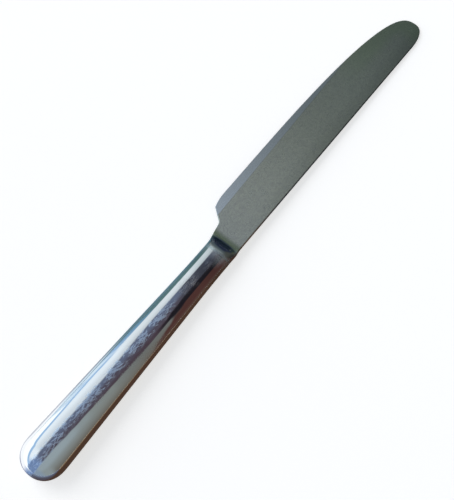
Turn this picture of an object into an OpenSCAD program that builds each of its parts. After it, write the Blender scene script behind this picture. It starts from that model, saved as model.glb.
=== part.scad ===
// Table knife with a hollow handle. One forging makes the blade, the bolster and the tang.
// Two pressed half shells are brazed edge to edge into the handle, the filling holds the tang
// inside it, and a braze ring joins the bolster to the mouth of the handle.
// The knife lies on its side: +X runs to the point and the cutting edge faces +Y.

/* [Handle] */
// Length from the rounded end to the front of the bolster
handle_len = 112; // [106:1:116]
// Width at the broadest place, near the rounded end
butt_w = 17.7; // [16.5:0.1:19]
// Thickness at the same place
butt_t = 12.4; // [11.8:0.1:13]
// Width at the neck
neck_w = 11.7; // [11.4:0.1:12.2]
// Thickness at the neck
neck_t = 7.8; // [7.2:0.1:8]
// Length of the rounded end
cap_len = 10; // [9:0.5:12]
// Wall of each pressed half shell
shell_wall = 0.8; // [0.6:0.1:1]

/* [Bolster and tang] */
// Length of the bolster behind its front
bolster_len = 6.5; // [5.5:0.5:8]
// Length of the spigot that enters the mouth of the handle
spigot_len = 4; // [3:0.5:5]
// Length of the tang behind the bolster
tang_len = 56; // [40:1:70]
// Width of the tang where it leaves the spigot
tang_w = 6.4; // [5:0.1:7]
// Thickness of the tang
tang_t = 3.2; // [2.5:0.1:3.6]

/* [Blade] */
// Length from the front of the bolster to the point
blade_len = 124; // [118:1:130]
// Distance from the handle's centre line to the back of the blade
back_drop = 5.45; // [5.2:0.05:5.7]
// Distance from the centre line to the cutting edge where the blade is broadest
edge_reach = 13.9; // [13:0.1:15]
// Thickness of the back at the bolster
back_t = 2; // [1.6:0.1:2.4]
// Thickness of the cutting edge, as a table knife has it
edge_t = 0.35; // [0.25:0.05:0.5]
// Width of the ground bevel at the heel
bevel_w = 4.1; // [3:0.1:5]

/* [Joints] */
// Thickness of the braze between the handle's pieces
braze_t = 0.12; // [0.08:0.02:0.2]

/* [Hidden] */
big = 400;

// The handle tapers evenly from the belly to the neck and runs level after it
belly = 12;
neck_at = 98;
neck_blend = 4;
cap_power = 2.1;
cap_blend = 1.5;
oval_power = 2.15;
mouth = handle_len - bolster_len - braze_t / 2;
cap_steps = 9;
body_steps = 18;
half_steps = 24;

// The bolster falls from the handle's section to the blade's faces in one S-curve, which
// leans towards the blade, and its sides draw in later, close to the blade
shoulder_power = 6;
fall_start = -6.4;
fall_end = 0.7;
fall_lean = 1.35;
side_start = -2.5;
shoulder_end = 2;
shoulder_steps = 26;
shoulder_in = 0.04;
spigot_gap = 0.05;

// The blade thins towards the point and towards the cutting edge
point_thinning = 0.0032;
edge_thinning = 0.0167;
bevel_climb = 0.0244;
heel_x = 9.2;
point_y = -0.5;
edge_flat_end = 36;
edge_power = 2.5;
edge_root = 3;
heel_round_r = 22;
notch_r = 4;
notch_angle = 52;
root_angle = 11.6;
root_y = 5.7;
root_x = -4;
nose_len = 10;
nose_power = 2.4;
curve_steps = 40;

// Keys in the tang's sides, which the filling grips
key_count = 3;
key_depth = 0.8;
key_len = 4;

// Softened ramp: 1 at the belly, falling evenly, and 0 beyond the neck
function ramp(s) =
  neck_blend * ln(1 + exp((neck_at - s) / neck_blend)) / (neck_at - belly);
function half_width(s) = neck_w / 2 + (butt_w - neck_w) / 2 * ramp(s);
function half_height(s) = neck_t / 2 + (butt_t - neck_t) / 2 * ramp(s);

// How far the rounded end is open at the distance d from the end: a superellipse of length len
// that runs softly into the taper
function opening(d, len) =
  let (u = ln(1 + exp((len - d) / cap_blend)) / ln(1 + exp(len / cap_blend)))
  pow(max(0, 1 - pow(u, cap_power)), 1 / cap_power);

// Stations along a handle surface, each [distance from the end, opening].
// The inner surface starts one wall later than the outer one.
function stations(wall) = let (len = cap_len - wall) concat(
  [for (i = [0:cap_steps]) let (d = len * (1 - pow(cos(90 * i / cap_steps), 2 / cap_power)))
    [wall + d, opening(d, len)]],
  [for (i = [1:body_steps]) let (d = len + (mouth - cap_len) * i / body_steps)
    [wall + d, opening(d, len)]]
);

// Half an oval from the edge at +Y over the top to the edge at -Y, standing on a plane at
// height base: a superellipse of half width w and height h above the middle
function half_oval(w, h, base, power) = [for (j = [0:half_steps])
  let (a = 180 * j / half_steps)
  [w * sign(cos(a)) * pow(abs(cos(a)), 2 / power), base + (h - base) * pow(sin(a), 2 / power)]];
function turned(half) = [for (p = half) [-p[0], -p[1]]];
function oval(w, h, power) = let (half = half_oval(w, h, braze_t / 2, power))
  concat(half, turned(half));

// One row of points on a half shell's surface
function shell_row(st, wall) = let (
    w = (half_width(st[0]) - wall) * st[1],
    h = braze_t / 2 + (half_height(st[0]) - wall - braze_t / 2) * st[1]
  )
  [for (p = half_oval(w, h, braze_t / 2, oval_power)) [st[0] - handle_len, p[0], p[1]]];

// S-curve from 0 at start to 1 at end, level at both. A lean above 1 makes it start gently
function ease(x, start, end, lean) =
  let (u = pow(min(1, max(0, (x - start) / (end - start))), lean))
  u * u * u * (10 - 15 * u + 6 * u * u);

// Half the blade's thickness before the bevel is ground
function face_z(x, y) = back_t / 2 - point_thinning * x - edge_thinning * (y + back_drop);
function bevel_y(x) = edge_reach - bevel_w + bevel_climb * (x - heel_x);
bevel_x = 30;
bevel_slope = (face_z(bevel_x, edge_reach) - edge_t / 2) / (edge_reach - bevel_y(bevel_x));

// Lying angle: the handle's belly and the point both touch the table
belly_h = half_height(belly);
point_h = face_z(blade_len, point_y);
lie = atan((belly_h - point_h) / (blade_len + handle_len - belly));
function depth(x, h) = x * sin(lie) + h * cos(lie);
lift = max(concat(
  [for (st = stations(0)) depth(st[0] - handle_len, half_height(st[0]) * st[1])],
  [depth(blade_len, point_h)]
));
mid_x = (blade_len - handle_len) / 2 * cos(lie);
low_y = max([for (st = stations(0)) half_width(st[0]) * st[1]]);
mid_y = (edge_reach - low_y) / 2;

module lay_down() {
  translate([-mid_x, -mid_y, lift])
    rotate([0, lie, 0])
      children();
}

// A solid through rings of equal length, closed by a flat face at each end
module loft(rings) {
  n = len(rings[0]);
  m = len(rings);
  polyhedron(
    points = [for (r = rings, p = r) p],
    faces = concat(
      [[for (j = [0:n - 1]) j]],
      [for (i = [0:m - 2], j = [0:n - 1]) [i * n + j, (i + 1) * n + j, (i + 1) * n + (j + 1) % n]],
      [for (i = [0:m - 2], j = [0:n - 1]) [i * n + j, (i + 1) * n + (j + 1) % n, i * n + (j + 1) % n]],
      [[for (j = [n - 1:-1:0]) (m - 1) * n + j]]
    )
  );
}

module blade() {
  color([0.62, 0.65, 0.64])
    lay_down() {
      blade_plate();
      bolster();
      spigot();
      tang();
    }
}

module bolster() {
  w0 = half_width(handle_len - bolster_len);
  h0 = half_height(handle_len - bolster_len);
  w1 = (root_y + back_drop) / 2;
  c1 = (root_y - back_drop) / 2;
  back = -bolster_len + braze_t / 2;
  loft([for (i = [0:shoulder_steps])
    let (
      x = back + (shoulder_end - back) * i / shoulder_steps,
      f = ease(x, fall_start, fall_end, fall_lean),
      g = ease(x, side_start, shoulder_end, 1),
      power = oval_power + (shoulder_power - oval_power) * f
    )
    [for (p = oval(w0 + (w1 - w0) * g, h0, power))
      let (y = p[0] + c1 * g)
      [x, y, p[1] * (1 - f + f * (face_z(x, y) - shoulder_in) / h0)]]
  ]);
}

module spigot() {
  w = half_width(mouth) - shell_wall - spigot_gap;
  h = half_height(mouth) - shell_wall - spigot_gap;
  translate([-bolster_len - spigot_len, 0, 0])
    rotate([90, 0, 90])
      linear_extrude(spigot_len + bolster_len / 4)
        polygon(oval(w, h, oval_power));
}

module tang() {
  root = -bolster_len;
  tail = root - tang_len;
  tip = tail + tang_w / 4;
  pitch = tang_len / (key_count + 1);
  translate([0, 0, -tang_t / 2])
    linear_extrude(tang_t)
      difference() {
        polygon([
          [root, tang_w / 2], [tip, tang_w / 3], [tail, tang_w / 6],
          [tail, -tang_w / 6], [tip, -tang_w / 3], [root, -tang_w / 2]
        ]);
        for (i = [1:key_count], side = [-1, 1])
          let (x = root - pitch * i, half = tang_w / 3 + tang_w / 6 * (x - tip) / (root - tip))
          translate([x, side * half])
            square([key_len, 2 * key_depth], center = true);
      }
}

// The blade's outline: the root beside the bolster, the notch, the heel, the long cutting
// edge and the rounded point, then straight along the back
function arc(c, r, a0, a1) = [for (i = [0:6]) let (a = a0 + (a1 - a0) * i / 6)
  [c[0] + r * cos(a), c[1] + r * sin(a)]];
function edge_y(x) = let (u = max(0, (x - edge_flat_end) / (blade_len - edge_flat_end)))
  point_y + (edge_reach - point_y) * pow(max(0, 1 - pow(u, edge_power)), 1 / edge_root);
function nose_y(x) = let (u = max(0, (x - blade_len + nose_len) / nose_len))
  point_y - (point_y + back_drop) * pow(max(0, 1 - pow(u, nose_power)), 1 / nose_power);
function heel_y(x) = let (d = heel_x + sqrt(2 * heel_round_r) - x)
  edge_reach - d * d / (2 * heel_round_r);

// Where the root line and the heel line cross, with the notch's arc between them
notch_x = heel_x - (heel_y(heel_x) - root_y - (heel_x - root_x) * tan(root_angle))
  / (tan(notch_angle) - tan(root_angle));
notch_y = root_y + (notch_x - root_x) * tan(root_angle);
notch_reach = notch_r * tan((notch_angle - root_angle) / 2);
notch_c = [
  notch_x - notch_reach * cos(root_angle) - notch_r * sin(root_angle),
  notch_y - notch_reach * sin(root_angle) + notch_r * cos(root_angle)
];

module blade_outline() {
  heel_flat = heel_x + sqrt(2 * heel_round_r);
  polygon(concat(
    [[root_x, -back_drop], [root_x, root_y]],
    arc(notch_c, notch_r, root_angle - 90, notch_angle - 90),
    [for (i = [0:6]) let (x = heel_x + (heel_flat - heel_x) * i / 6) [x, heel_y(x)]],
    [for (i = [0:curve_steps])
      let (x = edge_flat_end + (blade_len - edge_flat_end) * sin(90 * i / curve_steps))
      [x, edge_y(x)]],
    [for (i = [curve_steps / 2 - 1:-1:0])
      let (x = blade_len - nose_len * (1 - sin(90 * i * 2 / curve_steps)))
      [x, nose_y(x)]]
  ));
}

// Everything below the plane z = z0 - a*x - b*(y + back_drop)
module below_plane(z0, a, b) {
  translate([0, -back_drop, z0])
    rotate([-asin(b / sqrt(1 + a * a + b * b)), atan(a), 0])
      translate([-big / 2, -big / 2, -big])
        cube(big);
}

module ground_side() {
  below_plane(back_t / 2, point_thinning, edge_thinning);
}

// The bevel's plane meets the face along the bevel line and falls by bevel_slope from it
module bevel_side() {
  line = edge_reach - bevel_w - bevel_climb * heel_x + back_drop;
  below_plane(
    back_t / 2 + bevel_slope * line,
    point_thinning - bevel_slope * bevel_climb,
    edge_thinning + bevel_slope
  );
}

module blade_plate() {
  intersection() {
    translate([0, 0, -back_t])
      linear_extrude(2 * back_t)
        blade_outline();
    ground_side();
    mirror([0, 0, 1])
      ground_side();
    bevel_side();
    mirror([0, 0, 1])
      bevel_side();
  }
}

// A pressed half shell: an outer and an inner surface, a flat rim on the parting plane and
// a flat rim at the mouth
module half_shell() {
  outer = [for (st = stations(0)) shell_row(st, 0)];
  inner = [for (st = stations(shell_wall)) shell_row(st, shell_wall)];
  m = len(outer);
  n = half_steps + 1;
  // The first row of each surface is one point, the pole of the rounded end
  function at(layer, i, j) = layer * (1 + (m - 1) * n) + (i == 0 ? 0 : 1 + (i - 1) * n + j);
  function quad(a, b, c, d) = [[a, b, c], [a, c, d]];
  polyhedron(
    points = concat(
      [outer[0][0]], [for (i = [1:m - 1], p = outer[i]) p],
      [inner[0][0]], [for (i = [1:m - 1], p = inner[i]) p]
    ),
    faces = concat(
      [for (j = [0:n - 2]) [at(0, 0, 0), at(0, 1, j), at(0, 1, j + 1)]],
      [for (j = [0:n - 2]) [at(1, 0, 0), at(1, 1, j + 1), at(1, 1, j)]],
      [for (i = [1:m - 2], j = [0:n - 2])
        each quad(at(0, i, j), at(0, i + 1, j), at(0, i + 1, j + 1), at(0, i, j + 1))],
      [for (i = [1:m - 2], j = [0:n - 2])
        each quad(at(1, i, j), at(1, i, j + 1), at(1, i + 1, j + 1), at(1, i + 1, j))],
      [for (j = [0:n - 2])
        each quad(at(0, m - 1, j), at(1, m - 1, j), at(1, m - 1, j + 1), at(0, m - 1, j + 1))],
      [for (i = [0:m - 2])
        each quad(at(0, i, 0), at(1, i, 0), at(1, i + 1, 0), at(0, i + 1, 0))],
      [for (i = [0:m - 2])
        each quad(at(0, i, n - 1), at(0, i + 1, n - 1), at(1, i + 1, n - 1), at(1, i, n - 1))]
    )
  );
}

module upper_handle_shell() {
  color([0.78, 0.8, 0.82])
    lay_down()
      half_shell();
}

module lower_handle_shell() {
  color([0.74, 0.76, 0.78])
    lay_down()
      rotate([180, 0, 0])
        half_shell();
}

// The braze runs round the parting plane between the two rims
function rim_outline(wall) = [for (st = stations(wall))
  [st[0] - handle_len, (half_width(st[0]) - wall) * st[1]]];
function flipped(points) = [for (i = [len(points) - 1:-1:0]) [points[i][0], -points[i][1]]];

module handle_seam_braze() {
  color([0.86, 0.84, 0.74])
    lay_down()
      translate([0, 0, -braze_t / 2])
        linear_extrude(braze_t)
          difference() {
            polygon(concat(flipped(rim_outline(0)), rim_outline(0)));
            polygon(concat(flipped(rim_outline(shell_wall)), rim_outline(shell_wall)));
          }
}

module bolster_braze_ring() {
  w = half_width(mouth);
  h = half_height(mouth);
  color([0.86, 0.84, 0.74])
    lay_down()
      translate([mouth - handle_len, 0, 0])
        rotate([90, 0, 90])
          linear_extrude(braze_t)
            difference() {
              polygon(oval(w, h, oval_power));
              polygon(oval(w - shell_wall, h - shell_wall, oval_power));
            }
}

// The filling takes the whole hollow up to the spigot and closes round the tang and its keys
module handle_filling() {
  front = handle_len - bolster_len - spigot_len;
  rows = [for (st = stations(shell_wall)) if (st[1] > 0 && st[0] < front) st];
  ends = concat(rows, [[front, 1]]);
  color([0.35, 0.33, 0.3])
    lay_down()
      difference() {
        loft([for (st = ends) let (
            w = (half_width(st[0]) - shell_wall) * st[1],
            h = braze_t / 2 + (half_height(st[0]) - shell_wall - braze_t / 2) * st[1]
          )
          [for (p = oval(w, h, oval_power)) [st[0] - handle_len, p[0], p[1]]]
        ]);
        tang();
      }
}

blade();
upper_handle_shell();
lower_handle_shell();
handle_seam_braze();
bolster_braze_ring();
handle_filling();
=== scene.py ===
"""A polished table knife with a hollow handle, lying on its side on a pale floor."""

from math import atan, cos, degrees, radians, sin, sqrt, tan

import bmesh
import bpy
import numpy as np
from mathutils import Matrix, Vector


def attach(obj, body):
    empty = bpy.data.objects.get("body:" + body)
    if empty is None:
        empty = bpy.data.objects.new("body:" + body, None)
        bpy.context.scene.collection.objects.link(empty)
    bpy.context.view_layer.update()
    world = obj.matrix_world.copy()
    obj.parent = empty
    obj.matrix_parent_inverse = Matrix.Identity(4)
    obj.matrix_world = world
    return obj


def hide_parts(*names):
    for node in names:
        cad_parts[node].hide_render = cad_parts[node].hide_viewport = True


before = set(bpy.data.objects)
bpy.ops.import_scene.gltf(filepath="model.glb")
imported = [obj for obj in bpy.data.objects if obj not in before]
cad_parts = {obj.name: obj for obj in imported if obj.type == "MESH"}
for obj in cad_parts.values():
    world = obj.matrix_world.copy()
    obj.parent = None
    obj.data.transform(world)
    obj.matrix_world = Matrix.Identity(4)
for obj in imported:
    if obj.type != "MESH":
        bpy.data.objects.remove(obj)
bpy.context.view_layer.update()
MM = 0.001

# The knife's own measures in millimetres. x runs from the bolster's front towards the point,
# y towards the cutting edge and z through the thickness, as in the construction.
HANDLE_LEN = 112.0
BUTT_W = 17.7
BUTT_T = 12.4
NECK_W = 11.7
NECK_T = 7.8
CAP_LEN = 10.0
SHELL_WALL = 0.8
BOLSTER_LEN = 6.5
SPIGOT_LEN = 4.0
TANG_LEN = 56.0
TANG_W = 6.4
TANG_T = 3.2
BLADE_LEN = 124.0
BACK_DROP = 5.45
EDGE_REACH = 13.9
BACK_T = 2.0
EDGE_T = 0.35
BEVEL_W = 4.1
BRAZE_T = 0.12

# The handle: belly and neck as distances from the butt, its rounded end, its oval, its mouth.
BELLY = 12.0
NECK_AT = 98.0
NECK_BLEND = 4.0
CAP_POWER = 2.1
CAP_BLEND = 1.5
OVAL_POWER = 2.15
MOUTH = HANDLE_LEN - BOLSTER_LEN - BRAZE_T / 2

# The bolster: where its thickness falls and its sides draw in to the blade.
FALL_START = -6.4
FALL_END = 0.7
FALL_LEAN = 1.35
SIDE_START = -2.5
SIDE_STEP = 0.12
SHOULDER_END = 2.0
SPIGOT_GAP = 0.05

# The blade: how its faces thin, its bevel, cutting edge, heel, notch, root and nose.
POINT_THINNING = 0.0032
EDGE_THINNING = 0.0167
BEVEL_CLIMB = 0.0244
BEVEL_X = 30.0
ROOT_BEVEL_SHARE = 0.21
HEEL_X = 9.2
POINT_Y = -0.5
EDGE_FLAT_END = 36.0
EDGE_POWER = 2.5
EDGE_ROOT = 3.0
HEEL_ROUND_R = 22.0
NOTCH_R = 4.0
NOTCH_ANGLE = radians(52.0)
NOTCH_SPREAD = 4.0
ROOT_ANGLE = radians(11.6)
ROOT_Y = 5.7
ROOT_X = -4.0
NOSE_LEN = 10.0
NOSE_POWER = 2.4

# The tang's keys: notches in both of its sides.
KEY_COUNT = 3
KEY_DEPTH = 0.8
KEY_LEN = 4.0


def ramp(s):
    """1 at the belly and 0 past the neck: a straight line softened at the neck's end.

    It is blend times the logarithm of 1 plus e to the power (neck - s) / blend, divided by the
    distance from the belly to the neck.
    """
    return NECK_BLEND * np.log1p(np.exp((NECK_AT - s) / NECK_BLEND)) / (NECK_AT - BELLY)


def half_width(s):
    """Half the neck's width, plus the ramp times half the difference to the butt's width."""
    return NECK_W / 2 + (BUTT_W - NECK_W) / 2 * ramp(s)


def half_height(s):
    """Half the neck's thickness, plus the ramp times half the difference to the butt's."""
    return NECK_T / 2 + (BUTT_T - NECK_T) / 2 * ramp(s)


def opening(d, length):
    """The share of its full size that a section has at distance d from the rounded end.

    It is the p-th root of 1 minus u to the power p. u is 1 at the end and falls in a straight
    line to 0 at the cap's length, where it is softened like the ramp.
    """
    u = np.logaddexp(0, (length - d) / CAP_BLEND) / np.logaddexp(0, length / CAP_BLEND)
    return np.clip(1 - u**CAP_POWER, 0, 1) ** (1 / CAP_POWER)


def ease(x, start, end, lean=1.0):
    """A smooth step: u cubed times 10 minus 15 u plus 6 u squared.

    u is the share of the way from start to end, raised to the power lean.
    """
    u = np.clip((x - start) / (end - start), 0, 1) ** lean
    return u**3 * (10 - 15 * u + 6 * u**2)


def face_z(x, y):
    """Half the blade's thickness: it falls evenly towards the point and the cutting edge."""
    return BACK_T / 2 - POINT_THINNING * x - EDGE_THINNING * (y + BACK_DROP)


def bevel_y(x):
    """The straight line where the bevel starts, for numbers and for sockets alike."""
    return EDGE_REACH - BEVEL_W + BEVEL_CLIMB * (x - HEEL_X)


BEVEL_SLOPE = (face_z(BEVEL_X, EDGE_REACH) - EDGE_T / 2) / (EDGE_REACH - bevel_y(BEVEL_X))

# How the knife lies: the handle's belly and the point both touch the floor.
LIE = atan(
    (half_height(BELLY) - face_z(BLADE_LEN, POINT_Y)) / (BLADE_LEN + HANDLE_LEN - BELLY)
)

# The construction's own sections along the handle set how far the knife is lifted and centred.
CAP_STATIONS = 10
RUN_STATIONS = 18


def stations():
    """Distances of the construction's sections from the butt: round the cap, then even steps.

    Round the cap a distance is 1 minus a power of the cosine of an even angle.
    """
    turn = np.radians(np.linspace(0, 90, CAP_STATIONS))
    cap = CAP_LEN * (1 - np.cos(turn) ** (2 / CAP_POWER))
    run = CAP_LEN + (MOUTH - CAP_LEN) * np.arange(1, RUN_STATIONS + 1) / RUN_STATIONS
    return np.concatenate([cap, run])


STATIONS = stations()
OPENED = opening(STATIONS, CAP_LEN)
BELLY_DEPTH = (STATIONS - HANDLE_LEN) * sin(LIE) + half_height(STATIONS) * OPENED * cos(LIE)
POINT_DEPTH = BLADE_LEN * sin(LIE) + face_z(BLADE_LEN, POINT_Y) * cos(LIE)
LIFT = max(BELLY_DEPTH.max(), POINT_DEPTH)
MID_X = (BLADE_LEN - HANDLE_LEN) / 2 * cos(LIE)
MID_Y = (EDGE_REACH - (half_width(STATIONS) * OPENED).max()) / 2


def lay_down(p):
    """Turned about y by the lying angle, moved onto the floor, and made metres."""
    x, y, z = p[..., 0], p[..., 1], p[..., 2]
    turned = [x * cos(LIE) + z * sin(LIE) - MID_X, y - MID_Y, z * cos(LIE) - x * sin(LIE) + LIFT]
    return np.stack(turned, -1) * MM


def edge_y(x):
    """The cutting edge: straight, then down to the point.

    Its height over the point is the cube root of 1 minus u to the power 2.5, where u runs from
    0 at the straight stretch's end to 1 at the point.
    """
    u = np.clip((x - EDGE_FLAT_END) / (BLADE_LEN - EDGE_FLAT_END), 0, 1)
    return POINT_Y + (EDGE_REACH - POINT_Y) * (1 - u**EDGE_POWER) ** (1 / EDGE_ROOT)


def nose_y(x):
    """The back: straight, then a superellipse of power 2.4 up to the point."""
    u = np.clip((x - BLADE_LEN + NOSE_LEN) / NOSE_LEN, 0, 1)
    return POINT_Y - (POINT_Y + BACK_DROP) * (1 - u**NOSE_POWER) ** (1 / NOSE_POWER)


HEEL_END = HEEL_X + sqrt(2 * HEEL_ROUND_R)


def heel_y(x):
    """The heel: a parabola that meets the straight edge level."""
    d = np.clip(HEEL_END - x, 0, None)
    return EDGE_REACH - d**2 / (2 * HEEL_ROUND_R)


NOTCH_X = HEEL_X - (heel_y(HEEL_X) - ROOT_Y - (HEEL_X - ROOT_X) * tan(ROOT_ANGLE)) / (
    tan(NOTCH_ANGLE) - tan(ROOT_ANGLE)
)
NOTCH_Y = ROOT_Y + (NOTCH_X - ROOT_X) * tan(ROOT_ANGLE)
NOTCH_REACH = NOTCH_R * tan((NOTCH_ANGLE - ROOT_ANGLE) / 2)
ARC_X = NOTCH_X - NOTCH_REACH * cos(ROOT_ANGLE) - NOTCH_R * sin(ROOT_ANGLE)
ARC_Y = NOTCH_Y - NOTCH_REACH * sin(ROOT_ANGLE) + NOTCH_R * cos(ROOT_ANGLE)
ARC_FROM = ARC_X + NOTCH_R * sin(ROOT_ANGLE)
ARC_TO = ARC_X + NOTCH_R * sin(NOTCH_ANGLE)


def upper_outline(x):
    """Root line, notch arc, heel line, heel parabola and the long edge, each over its own x."""
    root = ROOT_Y + (x - ROOT_X) * tan(ROOT_ANGLE)
    arc = ARC_Y - np.sqrt(np.clip(NOTCH_R**2 - (x - ARC_X) ** 2, 0, None))
    line = heel_y(HEEL_X) + (x - HEEL_X) * tan(NOTCH_ANGLE)
    y = np.minimum(edge_y(x), heel_y(x))
    y = np.where(x < HEEL_X, line, y)
    y = np.where(x < ARC_TO, arc, y)
    return np.where(x < ARC_FROM, root, y)


def rounded(x, step):
    """x above 0 and 0 below, softened: step times the logarithm of 1 plus e to the x / step."""
    return step * np.logaddexp(0, x / step)


# Columns of the forging's half section, from the middle of the edge wall over the upper face
# to the middle of the back: wall, rounded corner, bevel, bevel line, face, corner, wall.
CORNER_STEPS = 5
BEVEL_COLS = 12
FACE_COLS = 44
GUARD = 0.06
EDGE_ROUND = 0.11
NOTCH_ROUND = 0.32
BACK_ROUND = 0.3

# The most that a corner and a guard take of the section's width, and a corner of its height.
CORNER_SHARE = 0.3
GUARD_SHARE = 0.08
CORNER_RISE = 0.8
CREASE_GUARDS = 3


def column(a):
    """One value for each ring, set upright so that it spreads over the ring's columns."""
    return a[:, None]


def plate_half(x, low, high, crease, top, edge_r, back_r):
    """Half sections as (rings, columns, y and z), from the edge side to the back.

    The corners are quarter circles, and what lies between them follows top. The bevel line
    has its own column, with a guard on each side of it and beside each corner.
    """
    width = high - low
    er = np.minimum(edge_r, CORNER_SHARE * width)
    br = np.minimum(back_r, CORNER_SHARE * width)
    guard = np.minimum(GUARD, GUARD_SHARE * width)
    ze = top(x, high - er)
    zb = top(x, low + br)
    er = np.minimum(er, CORNER_RISE * ze)
    br = np.minimum(br, CORNER_RISE * zb)
    free = CREASE_GUARDS * guard
    crease = np.clip(crease, low + br + free, high - er - free)
    turn = np.linspace(0, np.pi / 2, CORNER_STEPS)[None, :]
    y_arc = column(high - er) + column(er) * np.cos(turn)
    z_arc = column(ze - er) + column(er) * np.sin(turn)
    part = np.linspace(0, 1, BEVEL_COLS)[None, :]
    y_bevel = column(high - er - guard) * (1 - part) + column(crease + guard) * part
    part = np.linspace(0, 1, FACE_COLS)[None, :]
    y_face = column(crease - guard) * (1 - part) + column(low + br + guard) * part
    y_top = np.concatenate([y_bevel, column(crease), y_face], 1)
    z_top = top(column(x), y_top)
    y_back = column(low + br) - column(br) * np.cos(turn[:, ::-1])
    z_back = column(zb - br) + column(br) * np.sin(turn[:, ::-1])
    y = np.concatenate([column(high), y_arc, y_top, y_back, column(low)], 1)
    z = np.concatenate([column(0 * x), z_arc, z_top, z_back, column(0 * x)], 1)
    return np.stack([y, z], -1)


HALF_COLS = 1 + CORNER_STEPS + BEVEL_COLS + 1 + FACE_COLS + CORNER_STEPS + 1
SIDE_ANGLE = radians(14)


def column_angles():
    """Angles round the oval for the same columns: even at both sides, where they are close.

    Between the sides their cosine falls in even steps.
    """
    n = CORNER_STEPS + 1
    side = np.linspace(0, SIDE_ANGLE, n)
    middle = np.linspace(0, 1, HALF_COLS - 2 * n + 2)
    fraction = (1 - cos(SIDE_ANGLE)) / 2 * (1 - 2 * middle) + middle
    inner = np.arccos(1 - 2 * fraction)
    return np.concatenate([side[:-1], inner, (np.pi - side[::-1])[1:]])


def superellipse(a, w, h, power):
    """Upper half: w times the cosine and h times the sine of a, each to the power 2 / power."""
    y = w * np.sign(np.cos(a)) * np.abs(np.cos(a)) ** (2 / power)
    z = h * np.clip(np.sin(a), 0, 1) ** (2 / power)
    z[:, [0, -1]] = 0
    return y, z


def oval_half(w, h, power):
    """Half sections of the handle's oval, with the columns of plate_half."""
    return np.stack(superellipse(column_angles()[None, :], w, h, column(power)), -1)


def ground_top(x, y):
    """The lower of the blade's face and the bevel's plane."""
    return np.minimum(face_z(x, y), face_z(x, y) - BEVEL_SLOPE * (y - bevel_y(x)))


# Rings along the forging, each count with the ring that the next stretch starts from.
BOLSTER_RINGS = 64
ROOT_RINGS = 18
ARC_RINGS = 16
NOTCH_LINE_RINGS = 10
HEEL_RINGS = 22
RUN_RINGS = 90
RUN_END = 92.0
TIP_RINGS = 100
TIP_GAP = 0.002


def blade_rings():
    """x of the blade's rings in front of the bolster: close at the notch, heel and point.

    Towards the point the distance left is the cube of what is left of an even count, which
    ends a little short of 1.
    """
    root = np.linspace(SHOULDER_END, ARC_FROM, ROOT_RINGS)[1:]
    arc = ARC_X + NOTCH_R * np.sin(np.linspace(ROOT_ANGLE, NOTCH_ANGLE, ARC_RINGS))[1:]
    line = np.linspace(ARC_TO, HEEL_X, NOTCH_LINE_RINGS)[1:]
    heel = np.linspace(HEEL_X, HEEL_END, HEEL_RINGS)[1:]
    run = np.linspace(HEEL_END, RUN_END, RUN_RINGS)[1:]
    t = np.linspace(0, 1 - TIP_GAP, TIP_RINGS)[1:]
    tip = BLADE_LEN - (BLADE_LEN - RUN_END) * (1 - t) ** 3
    return np.concatenate([root, arc, line, heel, run, tip])


def blade_section(x):
    """The blade's half sections, with the bevel line kept inside the outline.

    The edge's corner is rounder along the notch: by e to the minus fourth power of the share
    of the notch's spread.
    """
    high, low = upper_outline(x), nose_y(x)
    start = np.clip((x - SHOULDER_END) / (NOTCH_X - SHOULDER_END), 0, 1)
    free = (high - low) * ROOT_BEVEL_SHARE * (1 - start)
    crease = np.minimum(bevel_y(x), high - free)
    broken = np.exp(-(((x - (NOTCH_X + HEEL_X) / 2) / NOTCH_SPREAD) ** 4))
    edge_r = EDGE_ROUND + (NOTCH_ROUND - EDGE_ROUND) * broken
    return plate_half(x, low, high, crease, ground_top, edge_r, BACK_ROUND)


def bolster_section(x):
    """A blend of the handle's oval and the blade's section: 1 - f of one and f of the other.

    f brings down the thickness, and g draws in the sides in the same way. The edge side follows
    whichever is wider, the oval or the blade's root line.
    """
    s = HANDLE_LEN - BOLSTER_LEN
    w0, h0 = half_width(s), half_height(s)
    f = ease(x, FALL_START, FALL_END, FALL_LEAN)
    g = ease(x, SIDE_START, SHOULDER_END)
    oval = oval_half(w0, h0, OVAL_POWER + 0 * x)
    root = ROOT_Y + (x - ROOT_X) * tan(ROOT_ANGLE)
    high = w0 + rounded(root - w0, SIDE_STEP)
    y_oval = np.where(oval[..., 0] > 0, oval[..., 0] * column(high / w0), oval[..., 0])
    low = -BACK_DROP + 0 * x
    start = high - (high - low) * ROOT_BEVEL_SHARE
    plate = plate_half(x, low, high, start, face_z, EDGE_ROUND, BACK_ROUND)
    y = column(1 - g) * y_oval + column(g) * plate[..., 0]
    z = column(1 - f) * oval[..., 1] + column(f) * plate[..., 1]
    return np.stack([y, z], -1)


TANG_CREASE = 0.58
TANG_CORNER = 0.05


def tang_top(x, y):
    """Half the tang's thickness, the same everywhere."""
    return TANG_T / 2 + 0 * (x + y)


def tang_section(x, w):
    """A flat bar of half width w, with its corners just broken."""
    return plate_half(x, -w, w, TANG_CREASE * w, tang_top, TANG_CORNER, TANG_CORNER)


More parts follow.
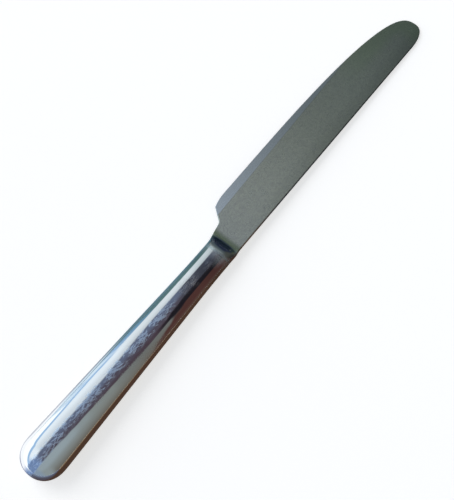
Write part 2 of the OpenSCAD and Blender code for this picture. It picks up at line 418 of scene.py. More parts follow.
def tang_stations():
    """x and half width along the tang, with a pair of rings at each end of every key."""
    root, tail = -BOLSTER_LEN, -BOLSTER_LEN - TANG_LEN
    tip = tail + TANG_W / 4
    taper = [TANG_W / 3, TANG_W / 2]
    pitch = TANG_LEN / (KEY_COUNT + 1)
    xs, ws = [tail, tip], [TANG_W / 6, TANG_W / 3]
    for i in range(KEY_COUNT, 0, -1):
        middle = root - pitch * i
        ends = np.array([middle - KEY_LEN / 2, middle + KEY_LEN / 2])
        full = np.interp(ends, [tip, root], taper)
        cut = np.interp(middle, [tip, root], taper) - KEY_DEPTH
        xs += [ends[0], ends[0], ends[1], ends[1]]
        ws += [full[0], cut, cut, full[1]]
    xs.append(root - SPIGOT_LEN)
    ws.append(np.interp(xs[-1], [tip, root], taper))
    return np.array(xs), np.array(ws)


def whole_ring(x, half):
    """The half section and its mirror image below, as closed rings of (x, y, z)."""
    lower = half[:, -2:0:-1] * np.array([1, -1])
    ring = np.concatenate([half, lower], 1)
    xs = np.broadcast_to(x[:, None, None], ring.shape[:2] + (1,))
    return np.concatenate([xs, ring], -1)


def forging_grid():
    """Rings of the tang, the spigot, the bolster and the blade, from the tail to the point."""
    tx, tw = tang_stations()
    back = -BOLSTER_LEN + BRAZE_T / 2
    spigot_x = np.array([-BOLSTER_LEN - SPIGOT_LEN, back])
    w = half_width(MOUTH) - SHELL_WALL - SPIGOT_GAP
    h = half_height(MOUTH) - SHELL_WALL - SPIGOT_GAP
    spigot = oval_half(w, h, np.full(2, OVAL_POWER))
    bx = np.linspace(back, SHOULDER_END, BOLSTER_RINGS)
    px = blade_rings()
    parts = [
        whole_ring(tx, tang_section(tx, tw)),
        whole_ring(spigot_x, spigot),
        whole_ring(bx, bolster_section(bx)),
        whole_ring(px, blade_section(px)),
    ]
    return np.concatenate(parts, 0)


def tube_faces(rings, cols):
    """Quads of a grid whose columns close on themselves."""
    i, j = np.meshgrid(np.arange(rings - 1), np.arange(cols), indexing="ij")
    k = (j + 1) % cols
    quads = np.stack([i * cols + j, i * cols + k, (i + 1) * cols + k, (i + 1) * cols + j], -1)
    return quads.reshape(-1, 4)


def grid_faces(rows, cols, start):
    """Quads of an open grid whose first vertex has the number start."""
    i, j = np.meshgrid(np.arange(rows - 1), np.arange(cols - 1), indexing="ij")
    a = start + i * cols + j
    return np.stack([a, a + cols, a + cols + 1, a + 1], -1).reshape(-1, 4)


SHARP_ANGLE = radians(30)
MERGE_M = 1e-7


def new_piece(name, points, faces):
    """A mesh object at the origin, smooth except at edges that turn by more than 30 degrees."""
    mesh = bpy.data.meshes.new(name)
    mesh.from_pydata(points, [], faces)
    mesh.validate()
    bm = bmesh.new()
    bm.from_mesh(mesh)
    bmesh.ops.remove_doubles(bm, verts=bm.verts, dist=MERGE_M)
    bmesh.ops.recalc_face_normals(bm, faces=bm.faces)
    bm.to_mesh(mesh)
    bm.free()
    mesh.shade_smooth()
    mesh.set_sharp_from_angle(angle=SHARP_ANGLE)
    piece = bpy.data.objects.new(name, mesh)
    bpy.context.scene.collection.objects.link(piece)
    return piece


def forging():
    """The blade, bolster, spigot and tang in one closed mesh with a flat end at each end."""
    rings = forging_grid()
    count, cols = rings.shape[:2]
    faces = [tuple(q) for q in tube_faces(count, cols).tolist()]
    faces.append(tuple(range(cols)))
    faces.append(tuple(range((count - 1) * cols, count * cols)))
    return new_piece("knife_blade", lay_down(rings).reshape(-1, 3).tolist(), faces)


CAP_ROWS = 60
BODY_ROWS = 130
SHELL_COLS = 112
ROW_SPREAD = 1.4


def shell_surface(wall):
    """Half superellipse sections on the parting plane, opened over the rounded end.

    wall is how far the surface lies inside the outer one. The rows along the body stand closer
    together at the butt: an even count to the power 1.4.
    """
    length = CAP_LEN - wall
    phi = np.linspace(0, np.pi / 2, CAP_ROWS)
    d_cap = length * (1 - np.clip(np.cos(phi), 0, 1) ** (2 / CAP_POWER))
    d_run = length + (MOUTH - CAP_LEN) * np.linspace(0, 1, BODY_ROWS)[1:] ** ROW_SPREAD
    d = np.concatenate([d_cap, d_run])
    s, k = np.minimum(wall + d, MOUTH), opening(d, length)
    a = np.linspace(0, np.pi, SHELL_COLS)[None, :]
    w = column((half_width(s) - wall) * k)
    h = column((half_height(s) - wall - BRAZE_T / 2) * k)
    y, z = superellipse(a, w, h, OVAL_POWER)
    x = np.broadcast_to(column(s - HANDLE_LEN), y.shape)
    return np.stack([x, y, z + BRAZE_T / 2], -1)


def half_shell(name, side):
    """Outer and inner surface of one pressed half, joined along the rims. side is 1 or -1."""
    outer, inner = shell_surface(0), shell_surface(SHELL_WALL)
    rows, cols = outer.shape[:2]
    points = np.concatenate([outer.reshape(-1, 3), inner.reshape(-1, 3)]) * np.array([1, 1, side])
    n = rows * cols
    faces = [grid_faces(rows, cols, 0), grid_faces(rows, cols, n)[:, ::-1]]
    i = np.arange(rows - 1)
    for j in (0, cols - 1):
        a = i * cols + j
        faces.append(np.stack([a, a + cols, a + cols + n, a + n], -1))
    j = np.arange(cols - 1)
    a = (rows - 1) * cols + j
    faces.append(np.stack([a, a + 1, a + 1 + n, a + n], -1))
    return new_piece(name, lay_down(points).tolist(), np.concatenate(faces).tolist())


class Wire:
    """One socket of a node tree. Arithmetic on it adds Math nodes."""

    def __init__(self, graph, socket):
        self.graph = graph
        self.socket = socket

    def _math(self, operation, a, b):
        return self.graph.node("ShaderNodeMath", {"operation": operation}, {0: a, 1: b})

    def __add__(self, other):
        return self._math("ADD", self, other)

    def __radd__(self, other):
        return self._math("ADD", other, self)

    def __sub__(self, other):
        return self._math("SUBTRACT", self, other)

    def __rsub__(self, other):
        return self._math("SUBTRACT", other, self)

    def __mul__(self, other):
        return self._math("MULTIPLY", self, other)

    def __rmul__(self, other):
        return self._math("MULTIPLY", other, self)

    def __truediv__(self, other):
        return self._math("DIVIDE", self, other)

    def __rtruediv__(self, other):
        return self._math("DIVIDE", other, self)


class Graph:
    """A node tree that is filled through node()."""

    def __init__(self, tree):
        self.tree = tree
        tree.nodes.clear()

    def node(self, kind, settings, values, out=0):
        """Adds a node: settings are its properties, values its inputs by name or number."""
        made = self.tree.nodes.new(kind)
        for key, value in settings.items():
            setattr(made, key, value)
        for key, value in values.items():
            if isinstance(value, Wire):
                self.tree.links.new(value.socket, made.inputs[key])
            else:
                made.inputs[key].default_value = value
        return Wire(self, made.outputs[out]) if len(made.outputs) else made

    def smooth(self, value, low, high):
        """0 at low, 1 at high, and an S-curve between."""
        values = {"Value": value, "From Min": low, "From Max": high}
        return self.node("ShaderNodeMapRange", {"interpolation_type": "SMOOTHSTEP"}, values)

    def fall(self, value, low, high):
        """1 at low, 0 at high, and an S-curve between."""
        return 1 - self.smooth(value, low, high)

    def hump(self, value, low, rise, drop, high):
        """0 up to low, 1 from rise to drop, 0 from high on, and S-curves between."""
        return self.smooth(value, low, rise) * self.fall(value, drop, high)

    def clamped(self, value, low, high):
        """The value kept between low and high."""
        return self.node("ShaderNodeClamp", {}, {"Value": value, "Min": low, "Max": high})

    def mix(self, a, b, factor):
        """Colour a where factor is 0 and colour b where it is 1."""
        return self.node("ShaderNodeMix", {"data_type": "RGBA"}, {0: factor, 6: a, 7: b}, 2)

    def noise(self, vector, scale, detail=2.0, rough=0.5, warp=0.0):
        """Noise from 0 to 1 with scale cells a metre."""
        values = {"Vector": vector, "Scale": scale, "Detail": detail, "Roughness": rough}
        values["Distortion"] = warp
        return self.node("ShaderNodeTexNoise", {"noise_dimensions": "3D"}, values)

    def stretched(self, vector, scale, turn=(0, 0, 0)):
        """Coordinates turned and then scaled, for patterns with a direction."""
        values = {"Vector": vector, "Rotation": turn}
        turned = self.node("ShaderNodeMapping", {"vector_type": "POINT"}, values)
        values = {"Vector": turned, "Scale": scale}
        return self.node("ShaderNodeMapping", {"vector_type": "POINT"}, values)

    def bump(self, height, distance, normal=None):
        """A Bump node of that height in metres, on top of another normal if there is one."""
        values = {"Height": height, "Distance": distance, "Strength": 1.0}
        if normal is not None:
            values["Normal"] = normal
        return self.node("ShaderNodeBump", {}, values)


def material(name):
    """A new material and its graph."""
    made = bpy.data.materials.new(name)
    made.use_nodes = True
    return made, Graph(made.node_tree)


def surface(graph, values):
    """The Principled shader with these inputs, wired to the output."""
    shader = graph.node("ShaderNodeBsdfPrincipled", {}, values)
    graph.node("ShaderNodeOutputMaterial", {}, {"Surface": shader})


def object_place(graph):
    """Object coordinates in metres."""
    return graph.node("ShaderNodeTexCoord", {}, {}, 3)


def parts_of(graph, vector):
    """The three parts of a vector."""
    made = graph.node("ShaderNodeSeparateXYZ", {}, {"Vector": vector}).socket.node
    return [Wire(graph, out) for out in made.outputs]


def knife_place(graph):
    """Object coordinates in metres, then the knife's own x and y in millimetres."""
    place = object_place(graph)
    x, y, _ = parts_of(graph, place)
    return place, x / MM + MID_X, y / MM + MID_Y


def scratches(graph, place, turn, count, width):
    """Thin straight marks along one direction: the crests of a noise stretched 60 to 1."""
    lines = graph.stretched(place, (1, 60, 60), turn)
    fine = graph.noise(lines, count, 1.0)
    broken = graph.noise(place, 90.0, 2.0)
    crest = graph.smooth(fine, 0.5 + width, 0.5 + 2 * width)
    return crest * graph.smooth(broken, 0.5, 0.62)


def strands(graph, place, angle, scale):
    """Short thin wipe marks along one direction: the crests of a noise stretched 5 to 1."""
    lines = graph.stretched(place, (0.2, 1, 1), (0, 0, radians(angle)))
    return graph.smooth(graph.noise(lines, scale, 1.0, 0.5, 0.5), 0.50, 0.60)


# The handle's polish, clear and hazy, its wipe marks with their painted blue reflection, and the
# duller steel of its neck.
POLISH = (0.75, 0.765, 0.78, 1)
HAZY_POLISH = (0.80, 0.81, 0.81, 1)
WIPE_BLUE_REFLECTION = (0.67, 0.80, 0.96, 1)
NECK_STEEL = (0.63, 0.66, 0.665, 1)
MOUTH_X = MOUTH - HANDLE_LEN


def handle_steel():
    """Mirror-polished steel with a slightly wavy pressing, haze, fine wisps tinted with a painted
    blue reflection, and hairline marks.
    """
    made, g = material("polished_handle_steel")
    place, x, y = knife_place(g)
    wave = g.noise(place, 85.0, 1.0)
    marks = scratches(g, place, (0, 0, radians(11)), 130.0, 0.09)
    marks = marks + scratches(g, place, (0, 0, radians(-17)), 150.0, 0.1)
    # Wipe marks lie along the crown, a little wider and denser by the butt, and end at the neck;
    # their blue tint is a painted reflection of the window's light
    wisps_and_sheen = strands(g, place, -15, 1700.0) + strands(g, place, 20, 1450.0)
    by_butt = g.fall(x, -106, -89)
    worn = g.smooth(g.noise(place, 260.0, 3.0, 0.65) + 0.07 * by_butt, 0.34, 0.56)
    crown = g.smooth(y + 0.4 * by_butt, -2.6, -0.9) * g.fall(y, 1.1, 2.2)
    wisps_and_sheen = wisps_and_sheen * worn * crown * (1 - 0.2 * by_butt)
    wisps_and_sheen = g.clamped(wisps_and_sheen * (1 - 0.9 * g.smooth(x, -42, -25)), 0, 1)
    haze = g.noise(place, 70.0, 4.0, 0.6)
    mouth = g.smooth(x, MOUTH_X - 3.8, MOUTH_X + 0.4)
    rough = 0.025 + 0.025 * haze + 0.08 * wisps_and_sheen + 0.05 * marks + 0.09 * mouth
    tone = g.mix(POLISH, HAZY_POLISH, haze)
    tone = g.mix(tone, WIPE_BLUE_REFLECTION, wisps_and_sheen)
    tone = g.mix(tone, NECK_STEEL, g.smooth(x, -21, -12))
    normal = g.bump(marks, 0.000001, g.bump(wave, 0.00004))
    # The neck's last millimetres on the back's side are frosted
    frosted = g.hump(y, -4.7, -3.5, -2.0, -1.0) * g.smooth(x, MOUTH_X - 6, MOUTH_X - 1.5)
    metal = 1 - 0.45 * wisps_and_sheen - 0.12 * mouth - 0.16 * frosted
    values = {"Base Color": tone, "Roughness": rough, "Normal": normal, "Metallic": metal}
    surface(g, values)
    return made


# The blade's satin field with its mottle, spots and grain, then painted light: green reflection by
# the point, blue reflection on the bevel, a shade line along it, and shade towards the point.
SATIN_DEEP = (0.78, 0.815, 0.715, 1)
SATIN = (0.86, 0.895, 0.78, 1)
MOTTLE = (0.68, 0.70, 0.67, 1)
SPOT = (0.65, 0.67, 0.60, 1)
GRAIN_DARK = (0.36, 0.39, 0.36, 1)
POINT_GREEN_REFLECTION = (0.66, 0.84, 0.52, 1)
BEVEL_BLUE_REFLECTION = (0.57, 0.625, 0.69, 1)
BEVEL_SHADE_LINE = (0.42, 0.45, 0.46, 1)
PAINTED_SHADE_DARK = (0.05, 0.06, 0.05, 1)

# The bolster's polish, its collar at the handle, and the painted shade and green reflection on the
# fillet in front of it.
BOLSTER_POLISH = (0.60, 0.625, 0.65, 1)
COLLAR = (0.54, 0.61, 0.625, 1)
CORNER_SHADE_NAVY = (0.28, 0.345, 0.43, 1)
CORNER_SHADE_GREEN = (0.18, 0.285, 0.25, 1)
FILLET_SHADE_GREEN = (0.36, 0.43, 0.30, 1)
BACK_REFLECTION_GREEN = (0.72, 0.84, 0.50, 1)


def blade_field(g, place, x, y, cloud, spots, on_bevel):
    """The blade's colour: mottled satin, with a painted blue reflection on the bevel and painted
    shade that darkens it towards the point and the back.
    """
    tone = g.mix(SATIN_DEEP, SATIN, cloud)
    mottle = g.smooth(g.noise(place, 520.0, 3.0, 0.7, 1.0), 0.35, 0.65)
    tone = g.mix(tone, MOTTLE, 0.45 * mottle)
    tone = g.mix(tone, SPOT, spots * 0.5)
    speck = g.smooth(g.noise(place, 1100.0, 2.0, 0.7), 0.38, 0.62)
    tone = g.mix(GRAIN_DARK, tone, 0.82 + 0.34 * speck)
    # Painted green reflection towards the point
    point_reflection = g.smooth(x, 80, 104) * g.smooth(y, 1, 7) + g.smooth(x, 113, 121)
    tone = g.mix(tone, POINT_GREEN_REFLECTION, 0.45 * g.clamped(point_reflection, 0, 1))
    # Painted blue reflection on the bevel, weaker towards the point
    tone = g.mix(tone, BEVEL_BLUE_REFLECTION, on_bevel * (1 - 0.6 * g.smooth(x, 68, 104)))
    # Painted shade line along the bevel's inner edge
    crease = g.smooth(y - bevel_y(x), -0.2, 0.1)
    tone = g.mix(tone, BEVEL_SHADE_LINE, crease * (1 - on_bevel))
    # Painted shade: darker towards the point and by the back, less on the bevel
    painted_shade = 0.38 * g.smooth(x, 0, 72) + 0.14 * g.smooth(x, 75, 130)
    painted_by_back = g.fall(y, -5, 1.5) * g.smooth(x, -4, 30)
    painted_shade = painted_shade * (1 - 0.3 * on_bevel) + 0.11 * painted_by_back
    return g.mix(tone, PAINTED_SHADE_DARK, painted_shade)


def shoulder_tone(g, tone, x, y, polish, collar):
    """The bolster's polish over the blade's colour, with painted shade and painted green reflection
    on the fillet in front of it.
    """
    tone = g.mix(tone, BOLSTER_POLISH, polish)
    tone = g.mix(tone, COLLAR, collar)
    # Painted shade darkens the fillet's corner, and painted green reflection lies towards the face
    # and the back
    corner_shade = g.hump(x, -2.9, -1.9, -1.1, -0.2) * g.smooth(y, -4.2, -1.8)
    tone = g.mix(tone, g.mix(CORNER_SHADE_NAVY, CORNER_SHADE_GREEN, g.smooth(x, -1.8, -1.0)), corner_shade)
    tone = g.mix(tone, FILLET_SHADE_GREEN, g.hump(x, -0.7, 0.3, 0.6, 3.0))
    painted_by_back = g.hump(x, -2.7, -1.7, -0.9, 0) * g.hump(y, -5.2, -4.3, -3.6, -2.2)
    return g.mix(tone, BACK_REFLECTION_GREEN, painted_by_back)


def blade_steel():
    """Satin blade steel: lengthwise satin on the face, cross grinding on the bevel, polish behind."""
    made, g = material("satin_blade_steel")
    place, x, y = knife_place(g)
    polish = g.fall(x, -1.4, 0)
    on_bevel = g.smooth(y - bevel_y(x), -0.05, 0.25)
    along = g.noise(g.stretched(place, (0.035, 1, 1)), 5200.0, 3.0, 0.6)
    across = g.noise(g.stretched(place, (1, 0.03, 0.03), (0, 0, radians(-6))), 5200.0, 3.0, 0.6)
    grain = along * (1 - on_bevel) + across * on_bevel
    cloud = g.noise(place, 45.0, 4.0, 0.55)
    spots = g.smooth(g.noise(place, 420.0, 3.0, 0.6), 0.60, 0.74)
    marks = scratches(g, place, (0, 0, radians(4)), 95.0, 0.11)
    marks = marks + scratches(g, place, (0, 0, radians(62)), 80.0, 0.13)
    satin = 0.19 + 0.06 * cloud + 0.05 * spots + 0.04 * grain - 0.02 * on_bevel
    collar = g.fall(x, -5.7, -4.2)
    rough = satin * (1 - polish) + (0.07 + 0.04 * cloud + 0.15 * collar) * polish
    tone = blade_field(g, place, x, y, cloud, spots, on_bevel)
    tone = shoulder_tone(g, tone, x, y, polish, collar)
    relief = g.bump(grain * (1 - polish) * (1 - 0.9 * on_bevel), 0.0000025)
    normal = g.bump(marks * (1 - polish), 0.000003, relief)
    metal = 1 - 0.14 * collar
    values = {"Base Color": tone, "Roughness": rough, "Normal": normal, "Metallic": metal}
    surface(g, values)
    return made


BRAZE_DEEP = (0.56, 0.57, 0.55, 1)
BRAZE = (0.64, 0.645, 0.62, 1)
BRAZE_PIT = (0.40, 0.39, 0.36, 1)


def braze_metal():
    """Silver braze, ground flush: a little warmer and duller than the steel beside it."""
    made, g = material("silver_braze")
    place = object_place(g)
    cloud = g.noise(place, 320.0, 3.0, 0.6)
    pits = g.smooth(g.noise(place, 2600.0, 2.0), 0.62, 0.74)
    tone = g.mix(BRAZE_DEEP, BRAZE, cloud)
    tone = g.mix(tone, BRAZE_PIT, pits * 0.6)
    rough = 0.1 + 0.06 * cloud + 0.12 * pits
    normal = g.bump(1 - pits, 0.000006)
    values = {"Base Color": tone, "Roughness": rough, "Normal": normal, "Metallic": 1.0}
    surface(g, values)
    return made


CEMENT_DARK = (0.27, 0.255, 0.235, 1)
CEMENT_SAND = (0.42, 0.40, 0.37, 1)
CEMENT_PATCH = (0.33, 0.32, 0.30, 1)
CEMENT_HOLE = (0.12, 0.115, 0.11, 1)


def cement():
    """Dull grey filling with sand grains and small air holes."""
    made, g = material("grey_cement")
    place = object_place(g)
    sand = g.noise(place, 1900.0, 4.0, 0.7)
    patch = g.noise(place, 160.0, 3.0, 0.6)
    holes = g.smooth(g.noise(place, 900.0, 1.0), 0.66, 0.74)
    tone = g.mix(CEMENT_DARK, CEMENT_SAND, sand)
    tone = g.mix(tone, CEMENT_PATCH, patch * 0.6)
    tone = g.mix(tone, CEMENT_HOLE, holes)
    rough = 0.86 + 0.1 * sand
    normal = g.bump(sand * 0.4 + patch * 0.4 - holes, 0.00008)
    surface(g, {"Base Color": tone, "Roughness": rough, "Normal": normal, "Metallic": 0.0})
    return made


def seen_directly(graph):
    """1 for camera, glossy and transmission rays and 0 for the light that falls on things."""
    rays = graph.node("ShaderNodeLightPath", {}, {}).socket.node.outputs
    camera, glossy = Wire(graph, rays["Is Camera Ray"]), Wire(graph, rays["Is Glossy Ray"])
    through = Wire(graph, rays["Is Transmission Ray"])
    return graph.clamped(camera + glossy + through, 0, 1)


FLOOR_DEEP = (0.65, 0.63, 0.62, 1)
FLOOR_PALE = (0.665, 0.645, 0.635, 1)
FLOOR_GLOW = (0.995, 0.988, 0.975, 1)
FLOOR_FILL = 0.665


def floor_paint():
    """Plain pale floor. What the light leaves short of white is added where the floor is seen."""
    made, g = material("pale_floor")
    tone = g.mix(FLOOR_DEEP, FLOOR_PALE, g.noise(object_place(g), 6.0, 2.0))
    paint = g.node("ShaderNodeBsdfDiffuse", {}, {"Color": tone, "Roughness": 0.5})
    values = {"Color": FLOOR_GLOW, "Strength": seen_directly(g) * FLOOR_FILL}
    glow = g.node("ShaderNodeEmission", {}, values)
    both = g.node("ShaderNodeAddShader", {}, {0: paint, 1: glow})
    g.node("ShaderNodeOutputMaterial", {}, {"Surface": both})
    return made


# Colours of the reflection card, a glowing sheet that paints the steel's reflection of a table, with
# painted shadow close to the knife. Where they meet on it is in metres.
CARD_NEAR_BROWN = (0.085, 0.046, 0.030, 1)
CARD_FAR_BROWN = (0.34, 0.235, 0.14, 1)
CARD_PALE = (1.18, 1.21, 1.26, 1)
CARD_MIST = (0.80, 0.98, 1.12, 1)
CARD_SHADE = (0.57, 0.60, 0.68, 1)
CARD_GREY = (0.38, 0.42, 0.50, 1)
CARD_BLUE = (0.14, 0.25, 0.30, 1)
CARD_END = (0.20, 0.25, 0.36, 1)
CARD_END_SHADOW = (0.095, 0.09, 0.12, 1)
CARD_END_BLUE = (0.19, 0.30, 0.56, 1)
CARD_RIM_SHADOW = (0.30, 0.32, 0.46, 1)
CARD_DARK = (0.022, 0.027, 0.045, 1)


def card_paint():
    """The reflection card: brown beside the back, pale beside the butt, blue beside the neck."""
    made, g = material("reflection_card")
    x, y, _ = parts_of(g, object_place(g))
    brown = g.mix(CARD_NEAR_BROWN, CARD_FAR_BROWN, g.smooth(0 - y, 0.03, 0.16))
    # Behind the butt the card darkens towards the knife: painted contact shadow
    end = g.mix(CARD_END, CARD_END_SHADOW, g.smooth(x, -0.175, -0.122))
    brown = g.mix(end, brown, g.smooth(x, -0.124, -0.117))
    slant = y / g.clamped(-0.116 - x, 0.0005, 10)
    side = g.mix(CARD_END_BLUE, CARD_PALE, g.smooth(slant, 0.05, 0.7))
    side = g.mix(side, CARD_MIST, g.smooth(x, -0.092, -0.082))
    side = g.mix(side, CARD_BLUE, g.smooth(x, -0.070, -0.048))
    # Close to the knife on the +Y side the card is painted shadow: shade, then grey, then blue
    # towards the neck, and violet painted shadow by the butt's rim
    close = g.mix(CARD_SHADE, CARD_GREY, g.smooth(x, -0.090, -0.078))
    close = g.mix(close, CARD_BLUE, g.smooth(x, -0.074, -0.056))
    close = g.mix(CARD_RIM_SHADOW, close, g.smooth(x, -0.120, -0.108))
    reach = y * (1.9 - 0.9 * g.smooth(x, -0.118, -0.104))
    beside = g.fall(reach, 0.012, 0.034) * g.smooth(x, -0.126, -0.120)
    side = g.mix(side, close, beside)
    tone = g.mix(brown, side, g.smooth(y, -0.004, 0.003))
    tone = g.mix(tone, CARD_DARK, g.smooth(x, 0.002, 0.022))
    glow = g.node("ShaderNodeEmission", {}, {"Color": tone, "Strength": 1.0})
    g.node("ShaderNodeOutputMaterial", {}, {"Surface": glow})
    return made


def dress(piece, made):
    """Gives the piece one material."""
    piece.data.materials.clear()
    piece.data.materials.append(made)


# Camera: where the photograph was taken from, found from the knife's outline.
FRAME_H = 500
CAMERA_RISE = radians(70.432)
CAMERA_TURN = radians(38.53)
CAMERA_REACH = 0.438627
FOCAL_PX = 1146.116
AIM = Vector((-0.006784, -0.003342, 0.0))
SENSOR = 36.0
CLIP_START = 0.01
CLIP_END = 30.0


def photo_camera():
    """A camera at the fitted distance, looking down at the knife along one direction."""
    lens = bpy.data.cameras.new("photo_camera")
    lens.sensor_width = SENSOR
    lens.lens = FOCAL_PX * SENSOR / FRAME_H
    lens.clip_start = CLIP_START
    lens.clip_end = CLIP_END
    rise, turn = CAMERA_RISE, CAMERA_TURN
    look = Vector((cos(turn) * cos(rise), sin(turn) * cos(rise), -sin(rise)))
    right = Vector((sin(turn), -cos(turn), 0))
    up = right.cross(look)
    eye = bpy.data.objects.new("photo_camera", lens)
    turned = Matrix((right, up, -look)).transposed().to_4x4()
    eye.matrix_world = Matrix.Translation(AIM - look * CAMERA_REACH) @ turned
    bpy.context.scene.collection.objects.link(eye)
    bpy.context.scene.camera = eye


# Light: the room round the knife, as radiance by direction. psi is the angle in degrees from
# straight up towards +Y, and xi the angle out of that plane towards +X.
WINDOW = (0.98, 1.08, 1.16, 1)
WINDOW_FAR = (0.85, 0.93, 0.98, 1)
WINDOW_LOW = (0.10, 0.12, 0.15, 1)
WINDOW_BUTT = (0.46, 0.66, 0.96, 1)
BRIGHT_WALL = (1.28, 1.36, 1.40, 1)
BLUE_WALL = (0.84, 1.02, 1.16, 1)
DEEP_BLUE_WALL = (0.37, 0.58, 0.86, 1)
GREEN_WALL = (0.18, 0.36, 0.53, 1)
TEAL_WALL = (0.115, 0.215, 0.225, 1)
FRAME_BLUE = (0.40, 0.62, 0.92, 1)
BEAM = (0.092, 0.080, 0.110, 1)
BEAM_BLUE = (0.138, 0.170, 0.262, 1)
BEAM_END = (0.19, 0.285, 0.50, 1)
BEAM_FAR = (0.056, 0.059, 0.080, 1)
CEILING = (0.275, 0.31, 0.30, 1)
CEILING_FAR = (0.18, 0.19, 0.182, 1)
CEILING_LIT = (0.35, 0.42, 0.455, 1)
CEILING_LOW = (0.18, 0.17, 0.145, 1)
CEILING_END = (0.285, 0.37, 0.475, 1)
BEAM_PURPLE = (0.085, 0.062, 0.080, 1)
EDGE_DARK = (0.016, 0.014, 0.019, 1)
RED_BROWN = (0.090, 0.039, 0.034, 1)
RIM_BROWN = (0.108, 0.058, 0.047, 1)
BACK_ROOM = (0.085, 0.092, 0.080, 1)
BACK_FLOOR = (0.050, 0.048, 0.040, 1)
ROOM_NEAR = (0.40, 0.41, 0.40, 1)
ROOM_MIDDLE = (0.19, 0.23, 0.23, 1)
ROOM_FAR = (0.11, 0.14, 0.155, 1)
ROOM_DEEP = (0.026, 0.036, 0.066, 1)
BUTT_END = (1.55, 1.62, 1.66, 1)


def low_wall(g, psi, xi):
    """The wall under the window: bright towards the butt, then blue, then green-blue."""
    turn = xi + (psi - 77) * 0.084
    wall = g.mix(BRIGHT_WALL, BLUE_WALL, g.smooth(turn, 7.4, 8.2))
    posts = 0.4 * g.hump(turn, 7.7, 8.1, 8.3, 8.8) + 0.6 * g.hump(turn, 9.1, 9.6, 9.8, 10.3)
    wall = g.mix(wall, FRAME_BLUE, posts)
    wall = g.mix(wall, DEEP_BLUE_WALL, g.smooth(turn, 11.0, 11.9))
    wall = g.mix(wall, GREEN_WALL, g.smooth(turn, 12.2, 13.2))
    return g.mix(wall, TEAL_WALL, g.smooth(turn, 13.3, 14.7))


def window_side(g, psi, xi):
    """The window and, past its far edge, the low wall. The edge moves out as xi grows."""
    shift = 1.2 * g.clamped(xi, 0, 6.5) + 2.7 * g.clamped(xi - 6.5, 0, 3.8)
    past = psi - (49.8 + shift - 2.5 * g.clamped(xi - 11, 0, 2.8))
    window = g.mix(WINDOW, WINDOW_FAR, g.smooth(xi, 12.5, 14.8))
    window = g.mix(window, WINDOW_LOW, 0.27 * g.fall(psi, 22, 50) * g.smooth(xi, -8, 6))
    window = g.mix(window, WINDOW_BUTT, g.fall(xi, -50, -22) * g.fall(psi, 50, 58))
    tone = g.mix(window, low_wall(g, psi, xi), g.smooth(past, 0, 4))
    return g.mix(tone, FRAME_BLUE, g.hump(past, -9, -5, 1, 5) * g.fall(xi, 11.2, 13.4))


def dark_beam(g, psi, xi):
    """The dark beam overhead: purple on the back's side, and blue beside the window."""
    beam = g.mix(BEAM_PURPLE, BEAM, g.smooth(psi, -15, -2))
    beam = g.mix(beam, BEAM_BLUE, g.smooth(psi, 1, 17))
    beam = g.mix(beam, BEAM_FAR, g.smooth(xi, 17.4, 18.1))
    upper = psi + 13.5 - 9.2 * g.smooth(xi, 16.1, 17.9)
    beam = g.mix(beam, EDGE_DARK, g.smooth(xi, 15.6, 16.4) * g.fall(upper, -3, 3))
    return g.mix(beam, BEAM_END, g.fall(xi, -34, -4))


def ceiling_side(g, psi, xi, beam):
    """The ceiling on the back's side and, past a curve towards the neck, the brown wall."""
    ceiling = g.mix(CEILING, CEILING_FAR, g.smooth(xi, 11, 14.5))
    lit = g.fall(xi, 8.6, 11.2) * (0.45 + 0.55 * g.smooth(psi, -44, -22))
    ceiling = g.mix(ceiling, CEILING_LIT, lit)
    ceiling = g.mix(ceiling, CEILING_LOW, g.fall(psi, -92, -18) * g.smooth(xi, -30, -5))
    ceiling = g.mix(CEILING_END, ceiling, g.smooth(xi, -66, -40))
    brown = g.mix(RIM_BROWN, RED_BROWN, g.smooth(psi, -76, -62))
    lower = psi + 33 - 14 * g.smooth(xi, 17.2, 18.0)
    brown = g.mix(brown, beam, g.smooth(lower, -3, 2.5))
    turned = xi + 0.07 * g.clamped(-36 - psi, 0, 60) + 0.9 * g.smooth(psi, -30, -17)
    return g.mix(ceiling, brown, g.smooth(turned, 16.4, 17.1))


def point_side(g, psi, xi):
    """The room past the neck: it grows dark with xi, and is darker on the back's side."""
    room = g.mix(ROOM_NEAR, ROOM_MIDDLE, g.smooth(xi, 21, 28))
    room = g.mix(room, ROOM_FAR, g.smooth(xi, 27, 35))
    room = g.mix(room, ROOM_DEEP, g.smooth(xi, 42, 66))
    back_room = g.mix(BACK_FLOOR, BACK_ROOM, g.smooth(psi, -75, -45))
    back_room = g.mix(back_room, ROOM_DEEP, g.smooth(xi, 68, 80))
    return g.mix(back_room, room, g.smooth(psi, -35, 5))


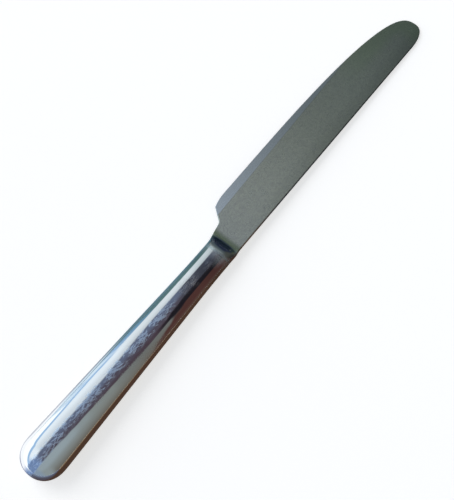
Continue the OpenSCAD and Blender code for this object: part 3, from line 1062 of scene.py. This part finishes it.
def room_light():
    """The world's colour by direction: window, beam, ceiling, and the room at both ends."""
    world = bpy.data.worlds.new("room")
    bpy.context.scene.world = world
    world.use_nodes = True
    g = Graph(world.node_tree)
    dx, dy, dz = parts_of(g, g.node("ShaderNodeTexCoord", {}, {}, 0))
    psi = g.node("ShaderNodeMath", {"operation": "ARCTAN2"}, {0: dy, 1: dz}) * degrees(1)
    xi = g.node("ShaderNodeMath", {"operation": "ARCSINE"}, {0: dx}) * degrees(1)
    # The window's near edge shifts out towards both ends
    near = psi - 2.3 * g.clamped(xi - 12, 0, 3.4) - 0.6 * g.clamped(-22 - xi, 0, 28)
    near = near - 1.8 * g.clamped(-50 - xi, 0, 25)
    beam = dark_beam(g, psi, xi)
    tone = g.mix(beam, window_side(g, psi, xi), g.smooth(near, 17.5, 23.5))
    # The ceiling begins along a curve that bends away from the beam as xi grows
    border = 3 + 5 * g.clamped(xi - 8.3, 0, 1.2) + 2.55 * g.clamped(xi - 9.5, 0, 1.9)
    border = border + 3.6 * g.clamped(xi - 11.4, 0, 3.4)
    tone = g.mix(ceiling_side(g, psi, xi, beam), tone, g.smooth(psi + border, -2.5, 1.5))
    past_neck = xi - 1.6 * g.fall(psi, -8, 4)
    tone = g.mix(tone, point_side(g, psi, xi), g.smooth(past_neck, 18.6, 20.0))
    # Behind the butt the room is open and bright low on the cutting edge's side
    tone = g.mix(tone, BUTT_END, g.hump(xi, -76, -66, -66, -52) * g.smooth(psi, 70, 85))
    light = g.node("ShaderNodeBackground", {}, {"Color": tone, "Strength": 1.0})
    g.node("ShaderNodeOutputWorld", {}, {"Surface": light})


FLOOR_SIZE = 12.0
CARD_SIZE = 3.0
CARD_LIFT = 0.0001


def flat_sheet(name, size, height, made):
    """A square of the stage at that height, centred under the knife."""
    half = size / 2
    corners = [(-half, -half), (half, -half), (half, half), (-half, half)]
    mesh = bpy.data.meshes.new(name)
    mesh.from_pydata([(x, y, height) for x, y in corners], [], [(0, 1, 2, 3)])
    sheet = bpy.data.objects.new(name, mesh)
    bpy.context.scene.collection.objects.link(sheet)
    dress(sheet, made)
    return sheet


def reflection_card():
    """A coloured card on the floor that only shows in the steel, as the photograph's table did."""
    card = flat_sheet("reflection_card", CARD_SIZE, CARD_LIFT, card_paint())
    card.visible_camera = False
    card.visible_diffuse = False
    card.visible_shadow = False
    card.visible_transmission = False


LAMP_WATTS = 5.0
LAMP_SIZE = 0.8
LAMP_PLACE = (-0.1, 0.85, 1.0)


def window_lamp():
    """A square soft lamp that shines on the knife. The steel shows the window in its place."""
    lamp = bpy.data.lights.new("window_lamp", "AREA")
    lamp.shape = "SQUARE"
    lamp.energy = LAMP_WATTS
    lamp.size = LAMP_SIZE
    made = bpy.data.objects.new("window_lamp", lamp)
    made.location = LAMP_PLACE
    made.visible_glossy = False
    made.rotation_euler = Vector(LAMP_PLACE).to_track_quat("Z", "Y").to_euler()
    bpy.context.scene.collection.objects.link(made)


photo_camera()
bpy.context.scene.view_settings.view_transform = "Standard"
room_light()
flat_sheet("floor", FLOOR_SIZE, 0, floor_paint())
reflection_card()

handle_finish = handle_steel()
blade_finish = blade_steel()
braze_finish = braze_metal()

blade = forging()
dress(blade, blade_finish)
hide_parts("blade")
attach(blade, "root")

for name, node, side in (
    ("upper_shell", "upper_handle_shell", 1),
    ("lower_shell", "lower_handle_shell", -1),
):
    shell = half_shell(name, side)
    dress(shell, handle_finish)
    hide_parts(node)
    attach(shell, "root")

dress(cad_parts["handle_seam_braze"], braze_finish)
dress(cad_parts["bolster_braze_ring"], braze_finish)
dress(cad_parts["handle_filling"], cement())

window_lamp()
